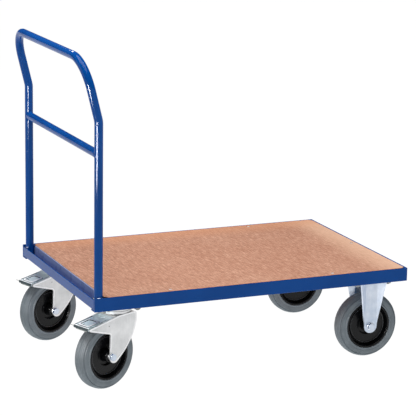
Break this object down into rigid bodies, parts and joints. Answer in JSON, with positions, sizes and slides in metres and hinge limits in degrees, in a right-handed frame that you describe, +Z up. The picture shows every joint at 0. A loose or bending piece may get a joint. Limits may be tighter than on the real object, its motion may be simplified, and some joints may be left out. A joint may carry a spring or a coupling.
{
  "type": "flatbed platform truck",
  "caption": "Flatbed platform truck: angle-iron frame with a plywood deck, a bent-tube push hoop, fixed castors in front and braked swivel castors behind.",
  "frame": {"origin": "on the ground, at the centre of the whole truck's footprint box at rest", "axes": "+X to the front, away from the push hoop; +Y to the truck's left; +Z up"},
  "size_m": [1.052, 0.66, 0.9785],
  "materials": {
    "blue_paint": "gloss powder coat",
    "zinc_plate": "bright zinc plated pressed steel",
    "plywood": "satin resin-faced plywood",
    "black_nylon": "moulded satin",
    "grey_rubber": "moulded elastic rubber"
  },
  "bodies": {
    "frame": {"side_rail_left": "blue_paint", "side_rail_right": "blue_paint", "front_rail": "blue_paint", "rear_rail": "blue_paint", "deck_end_angle": "blue_paint", "cross_member_1": "blue_paint", "cross_member_2": "blue_paint", "cross_member_3": "blue_paint", "cross_member_4": "blue_paint", "cross_member_5": "blue_paint", "deck_panel": "plywood", "deck_screw_1": "zinc_plate", "deck_screw_2": "zinc_plate", "deck_screw_3": "zinc_plate", "deck_screw_4": "zinc_plate", "deck_screw_5": "zinc_plate", "handle_hoop": "blue_paint", "handle_crossbar": "blue_paint", "castor_pad_rear_left": "blue_paint", "castor_pad_front_left": "blue_paint", "swivel_plate_left": "zinc_plate", "kingpin_left": "zinc_plate", "upper_race_left": "zinc_plate", "front_bracket_left": "zinc_plate", "front_axle_bolt_left": "zinc_plate", "front_axle_nut_left": "zinc_plate", "front_axle_sleeve_left": "zinc_plate", "castor_pad_rear_right": "blue_paint", "castor_pad_front_right": "blue_paint", "swivel_plate_right": "zinc_plate", "kingpin_right": "zinc_plate", "upper_race_right": "zinc_plate", "front_bracket_right": "zinc_plate", "front_axle_bolt_right": "zinc_plate", "front_axle_nut_right": "zinc_plate", "front_axle_sleeve_right": "zinc_plate"},
    "rear_fork_left": {"swivel_fork_left": "zinc_plate", "lower_race_left": "zinc_plate", "rear_axle_bolt_left": "zinc_plate", "rear_axle_nut_left": "zinc_plate", "rear_axle_sleeve_left": "zinc_plate"},
    "rear_wheel_left": {"rear_wheel_centre_left": "black_nylon", "rear_tyre_left": "grey_rubber"},
    "brake_lever_left": {"brake_pedal_left": "zinc_plate", "brake_jaw_left": "zinc_plate", "brake_spring_left": "zinc_plate"},
    "front_wheel_left": {"front_wheel_centre_left": "black_nylon", "front_tyre_left": "grey_rubber"},
    "rear_fork_right": {"swivel_fork_right": "zinc_plate", "lower_race_right": "zinc_plate", "rear_axle_bolt_right": "zinc_plate", "rear_axle_nut_right": "zinc_plate", "rear_axle_sleeve_right": "zinc_plate"},
    "rear_wheel_right": {"rear_wheel_centre_right": "black_nylon", "rear_tyre_right": "grey_rubber"},
    "brake_lever_right": {"brake_pedal_right": "zinc_plate", "brake_jaw_right": "zinc_plate", "brake_spring_right": "zinc_plate"},
    "front_wheel_right": {"front_wheel_centre_right": "black_nylon", "front_tyre_right": "grey_rubber"}
  },
  "joints": [
    {"name": "rear_swivel_left", "type": "hinge", "parent": "frame", "child": "rear_fork_left", "pos_m": [-0.38751, 0.2505, 0.23], "axis": [0, 0, 1], "continuous": true},
    {"name": "rear_wheel_spin_left", "type": "hinge", "parent": "rear_fork_left", "child": "rear_wheel_left", "pos_m": [-0.42829, 0.23686, 0.1], "axis": [-0.3173, 0.9483, 0], "continuous": true},
    {"name": "brake_pedal_press_left", "type": "hinge", "parent": "rear_fork_left", "child": "brake_lever_left", "pos_m": [-0.43967, 0.23305, 0.194], "axis": [0.3173, -0.9483, 0], "range_deg": [0, 7], "stiffness_Nm_per_rad": 4, "springref_deg": -5.73},
    {"name": "front_wheel_spin_left", "type": "hinge", "parent": "frame", "child": "front_wheel_left", "pos_m": [0.42599, 0.247, 0.1], "axis": [0, 1, 0], "continuous": true},
    {"name": "rear_swivel_right", "type": "hinge", "parent": "frame", "child": "rear_fork_right", "pos_m": [-0.38751, -0.2505, 0.23], "axis": [0, 0, 1], "continuous": true},
    {"name": "rear_wheel_spin_right", "type": "hinge", "parent": "rear_fork_right", "child": "rear_wheel_right", "pos_m": [-0.42766, -0.26591, 0.1], "axis": [-0.3584, 0.9336, 0], "continuous": true},
    {"name": "brake_pedal_press_right", "type": "hinge", "parent": "rear_fork_right", "child": "brake_lever_right", "pos_m": [-0.43886, -0.27021, 0.194], "axis": [0.3584, -0.9336, 0], "range_deg": [0, 7], "stiffness_Nm_per_rad": 4, "springref_deg": -5.73},
    {"name": "front_wheel_spin_right", "type": "hinge", "parent": "frame", "child": "front_wheel_right", "pos_m": [0.42599, -0.247, 0.1], "axis": [0, 1, 0], "continuous": true}
  ]
}
